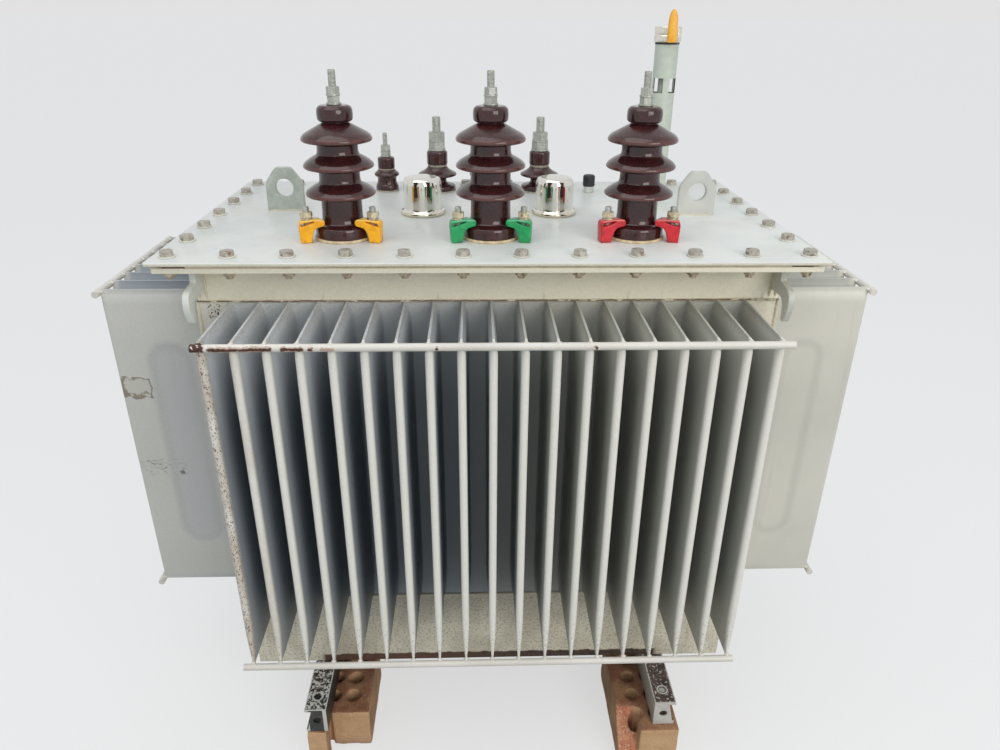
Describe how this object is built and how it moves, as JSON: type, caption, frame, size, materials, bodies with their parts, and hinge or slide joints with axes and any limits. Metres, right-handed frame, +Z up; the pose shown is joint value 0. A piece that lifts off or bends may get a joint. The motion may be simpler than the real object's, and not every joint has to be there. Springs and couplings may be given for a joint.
{
  "type": "power transformer",
  "caption": "Oil-filled distribution transformer: corrugated-fin tank on rails and hollow bricks, flanged lid with porcelain bushings, lifting lugs and a tubular oil gauge",
  "frame": {"origin": "On the ground under the middle of the tank: the middle of the bounding box's bottom face, where the bricks stand", "axes": "+X runs along the tank's long side, towards the oil gauge. +Z is up. The side with the three high-voltage bushings faces -Y"},
  "size_m": [1.2866, 0.7866, 1.3193],
  "materials": {
    "tank_paint": "satin, pale beige-grey enamel with rust patches",
    "lid_paint": "satin, pale cool grey enamel",
    "rail_paint": "dark green-black paint, chipped to white on its edges",
    "galvanised": "dull zinc, lightly stained",
    "porcelain": "high-gloss brown glaze",
    "chrome": "bright, slightly hazed",
    "rubber": "matt black",
    "clay": "rough fired clay",
    "clamp_left": "gloss yellow enamel",
    "clamp_centre": "gloss green enamel",
    "clamp_right": "gloss red enamel",
    "gauge_paint": "satin grey-green",
    "gauge_pointer": "orange"
  },
  "bodies": {
    "root": {"brick_back_left": "clay", "brick_back_right": "clay", "brick_front_left": "clay", "brick_front_right": "clay", "clamp_centre_back": "clamp_centre", "clamp_centre_front_left": "clamp_centre", "clamp_centre_front_right": "clamp_centre", "clamp_left_back": "clamp_left", "clamp_left_front_left": "clamp_left", "clamp_left_front_right": "clamp_left", "clamp_right_back": "clamp_right", "clamp_right_front_left": "clamp_right", "clamp_right_front_right": "clamp_right", "dome_cap_left": "chrome", "dome_cap_right": "chrome", "fin_wall_back": "tank_paint", "fin_wall_front": "tank_paint", "fin_wall_left": "tank_paint", "fin_wall_right": "tank_paint", "gauge_head": "galvanised", "gauge_pointer": "gauge_pointer", "gauge_tube": "gauge_paint", "hook_back_left": "tank_paint", "hook_back_right": "tank_paint", "hook_front_left": "tank_paint", "hook_front_right": "tank_paint", "hv_bushing_centre": "porcelain", "hv_bushing_left": "porcelain", "hv_bushing_right": "porcelain", "hv_terminal_centre": "galvanised", "hv_terminal_left": "galvanised", "hv_terminal_right": "galvanised", "lid": "lid_paint", "lid_gasket": "rubber", "lifting_lug_left": "galvanised", "lifting_lug_right": "lid_paint", "lv_bushing_centre": "porcelain", "lv_bushing_left": "porcelain", "lv_bushing_right": "porcelain", "lv_terminal_centre": "galvanised", "lv_terminal_left": "galvanised", "lv_terminal_right": "galvanised", "neutral_bushing": "porcelain", "neutral_terminal": "galvanised", "rail_left": "rail_paint", "rail_right": "rail_paint", "tank_base": "tank_paint", "tank_rim": "tank_paint", "thermometer_pocket": "rubber"}
  },
  "joints": []
}
